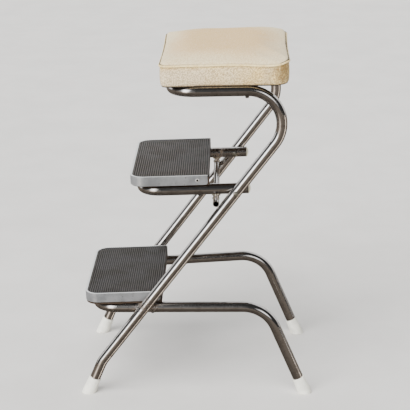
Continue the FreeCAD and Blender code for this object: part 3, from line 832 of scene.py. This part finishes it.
def make_seam():
    """Dark cord between the piping and the top panel, dirt and painted shade in the seam, which shows at the
    front and the rear.
    """
    path, sizes = [], []
    for point in seat_outline(SEAM_INSET):
        path.append(on_seat(point.x, point.y, SEAM_RISE + noise.noise(point * 60) * 0.4 * MM))
        beside = abs(point.x) > seat_half_width - 5 * MM
        sizes.append((0.1 if beside else 0.65 + 0.25 * noise.noise(point * 90)) * MM)
    seam = swept("seat_seam", path, sizes, sides=8)
    # A dark brown cord laid in the crease: dirt and painted shade.
    seam.data.materials.append(worn_steel("seam_dirt_and_shade", rgb(74, 58, 42), rgb(46, 36, 28), 0.8, 200))
    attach(seam, "frame")


def make_hem():
    """Cover folded under the seat board: a thin strip that is pleated round the corners."""
    board_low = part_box("seat_board")[0]
    underside = board_low.z - seam_front_height - (board_low.y - seat_front) * math.tan(SEAT_RISE)
    outer, inner = HEM_INSET / MM, HEM_WIDTH / MM
    rows = ((outer, HEM_THICKNESS), (outer, 0.0), (inner, 0.0), (inner, HEM_THICKNESS))
    rings = []
    for inset, drop in rows:
        ring = []
        for point in seat_outline(inset * MM):
            place = on_seat(point.x, point.y, underside + HEM_THICKNESS - drop)
            if inset > outer:
                pleat = noise.noise(Vector((point.x * PLEAT_SCALE, point.y * PLEAT_SCALE, 0.0)))
                place.z -= abs(pleat) * PLEAT_HEIGHT
            ring.append(place - Vector((0, 0, HEM_THICKNESS)))
        rings.append(ring)
    hem = lofted("seat_hem", rings + rings[:1], caps=False)
    hem.data.materials.append(hem_vinyl_painted_shade())
    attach(hem, "frame")
    return underside


def make_staples(underside):
    form = bmesh.new()
    line = [on_seat(p.x, p.y, underside - HEM_THICKNESS) for p in seat_outline(STAPLE_INSET)]
    walked = STAPLE_PITCH / 2
    for start, end in zip(line, line[1:] + line[:1]):
        run = end - start
        walked += run.length
        if walked < STAPLE_PITCH:
            continue
        walked -= STAPLE_PITCH
        turn = noise.noise(start * 300) * 0.5
        along = Matrix.Rotation(turn, 3, "Z") @ run.normalized()
        across = Vector((-along.y, along.x, 0))
        size = Matrix.Diagonal((STAPLE_LENGTH, STAPLE_WIRE, STAPLE_WIRE, 1))
        turned = Matrix((along, across, (0, 0, 1))).transposed().to_4x4()
        bmesh.ops.create_cube(form, size=1, matrix=Matrix.Translation(start) @ turned @ size)
    staples = finished("seat_staples", form, smooth=False)
    dress(bpy.data.materials["rivet_steel"], staples.name)
    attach(staples, "frame")


def make_washers():
    """Thick dark washers round the heads of the seat's screws."""
    screws = []  # the points of each screw
    for vertex in nodes["seat_screws"].data.vertices:
        for group in screws:
            if (vertex.co.xy - group[0].xy).length < SCREW_GAP:
                group.append(vertex.co)
                break
        else:
            screws.append([vertex.co])
    form = bmesh.new()
    for points in screws:
        head = min(point.z for point in points)
        x, y = [(min(p[axis] for p in points) + max(p[axis] for p in points)) / 2 for axis in (0, 1)]
        place = Matrix.Translation((x, y, head - WASHER_DROP + WASHER_HEIGHT / 2))
        bmesh.ops.create_cone(
            form,
            cap_ends=True,
            segments=28,
            radius1=WASHER_LOW_RADIUS,
            radius2=WASHER_RADIUS,
            depth=WASHER_HEIGHT,
            matrix=place,
        )
    washers = finished("seat_screw_washers", form, smooth=False)
    dress(bpy.data.materials["screw_steel"], washers.name)
    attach(washers, "frame")


# Studio

def make_floor():
    form = bmesh.new()
    bmesh.ops.create_grid(form, x_segments=1, y_segments=1, size=FLOOR_REACH)
    floor = finished("floor", form, smooth=False)
    floor.data.materials.append(pale_floor())
    floor.visible_glossy = False


def make_sun():
    """Soft even light from above, at the front left of the camera."""
    data = bpy.data.lights.new("sun", "SUN")
    data.energy = SUN_LIGHT
    data.angle = math.radians(60)
    sun = bpy.data.objects.new("sun", data)
    sun.rotation_euler = Vector((1.15, -0.7, 1.5)).to_track_quat("Z", "Y").to_euler()
    sun.visible_glossy = False
    bpy.context.scene.collection.objects.link(sun)


def make_world():
    """A dark room: pale wall beyond the stool, brown floor, tall soft window that shines on the floor too,
    a smaller window on the right, and a pale stripe low at the rear. The camera sees a plain pale studio."""
    s = Shade("studio", bpy.data.worlds, "Background", "Generated")
    turned = s.node("ShaderNodeVectorRotate", rotation_type="Z_AXIS")
    s.feed(turned.inputs["Vector"], s.place)
    turned.inputs["Angle"].default_value = WINDOW_TURN
    along, across = [s.part(axis, turned.outputs["Vector"]) for axis in ("X", "Y")]
    across = s.math("ABSOLUTE", across)
    aside, rearward, height = [s.part(axis) for axis in ("X", "Y", "Z")]
    above = s.span(height, -0.03, 0.01)
    below = s.math("SUBTRACT", 1.0, above)
    wall = s.both(above, s.span(aside, -0.15, -0.35), s.span(height, 0.93, 0.82), WALL_LIGHT)
    ahead = s.span(along, 0.0, 0.25)
    tall = s.both(ahead, s.span(height, 0.8, 0.5))
    window = s.both(tall, above, s.span(across, 0.34, 0.05), WINDOW_LIGHT)
    upright = s.both(s.span(height, -0.5, -0.1), s.span(height, 0.6, 0.3))
    halo = s.both(ahead, upright, s.span(across, 0.7, 0.15), WINDOW_HALO)
    shine = s.both(below, ahead, s.span(height, -0.55, -0.2), s.span(across, 0.26, 0.1), WINDOW_FLOOR)
    side_window = s.both(s.near(SIDE_WINDOW_PLACE, 0.3, 0.1), SIDE_WINDOW_LIGHT)
    beside = s.math("ABSOLUTE", s.math("SUBTRACT", aside, STRIPE_SIDE))
    stripe = s.both(below, s.span(beside, 0.14, 0.04), s.span(rearward, 0.4, 0.5), STRIPE_LIGHT)
    floor = s.both(below, s.span(height, -1.0, 0.0, 0.55, 1.5), FLOOR_LIGHT)
    strength = s.math("ADD", floor, ROOM_LIGHT)
    for light in (wall, window, halo, shine, side_window, stripe):
        strength = s.math("ADD", strength, light)
    colour = s.mix(below, rgb(248, 250, 253), rgb(224, 210, 196))
    seen = s.node("ShaderNodeLightPath").outputs["Is Camera Ray"]
    colour = s.mix(seen, colour, rgb(252, 250, 246))
    strength = s.math("ADD", s.both(seen, BACKGROUND_LIGHT), s.both(s.math("SUBTRACT", 1.0, seen), strength))
    bpy.context.scene.world = s.set(Color=colour, Strength=strength)


def make_camera():
    ahead = Vector((
        -math.cos(CAMERA_DOWN) * math.cos(CAMERA_TURN),
        math.cos(CAMERA_DOWN) * math.sin(CAMERA_TURN),
        -math.sin(CAMERA_DOWN),
    ))
    right = ahead.cross(Vector((0, 0, 1))).normalized()
    upward = right.cross(ahead)
    rolled_right = right * math.cos(CAMERA_ROLL) + upward * math.sin(CAMERA_ROLL)
    rolled_up = upward * math.cos(CAMERA_ROLL) - right * math.sin(CAMERA_ROLL)
    data = bpy.data.cameras.new("camera")
    data.lens = CAMERA_LENS
    data.sensor_width = CAMERA_SENSOR
    camera = bpy.data.objects.new("camera", data)
    turned = Matrix((rolled_right, rolled_up, -ahead)).transposed().to_4x4()
    camera.matrix_world = Matrix.Translation(CAMERA_PLACE) @ turned
    bpy.context.scene.collection.objects.link(camera)
    bpy.context.scene.camera = camera


dress_frame()
make_braze()
make_cushion()
make_piping()
make_seam()
make_staples(make_hem())
make_washers()
make_floor()
make_world()
make_sun()
make_camera()
